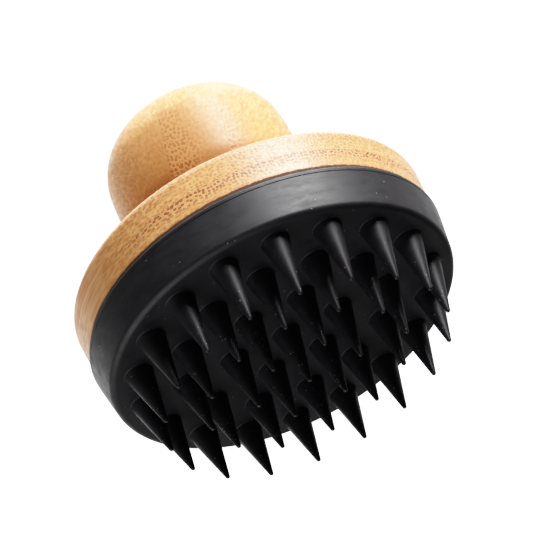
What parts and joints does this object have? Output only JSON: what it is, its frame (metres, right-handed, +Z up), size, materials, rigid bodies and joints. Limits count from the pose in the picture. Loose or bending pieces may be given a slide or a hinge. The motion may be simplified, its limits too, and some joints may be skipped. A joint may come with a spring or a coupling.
{
  "type": "scalp massager brush",
  "caption": "Hand-held scalp massager: rounded bamboo knob on a laminated bamboo base, with a pull-off silicone head of pointed cones in concentric rings.",
  "frame": {"origin": "on the brush's axis, in the plane of the cone tips it stands on", "axes": "+Z up the axis, from the cone tips to the knob; +X through one cone of every ring"},
  "size_m": [0.0756, 0.0756, 0.0701],
  "materials": {
    "bamboo_knob": "fine-turned bamboo with a thin clear oil, satin",
    "bamboo_base": "laminated bamboo, end grain dots on the side, satin",
    "screw_steel": "zinc-plated steel",
    "silicone": "matte black silicone rubber"
  },
  "bodies": {
    "head": {"head_shell": "silicone", "cone_centre": "silicone", "cones_inner": "silicone", "cones_middle": "silicone", "cones_outer": "silicone"},
    "handle": {"knob": "bamboo_knob", "base_ply_upper": "bamboo_base", "base_ply_middle": "bamboo_base", "base_ply_lower": "bamboo_base", "fixing_screw": "screw_steel"}
  },
  "joints": [
    {"name": "head_pull", "type": "slide", "parent": "head", "child": "handle", "axis": [0, 0, 1], "range_m": [0, 0.03]}
  ]
}
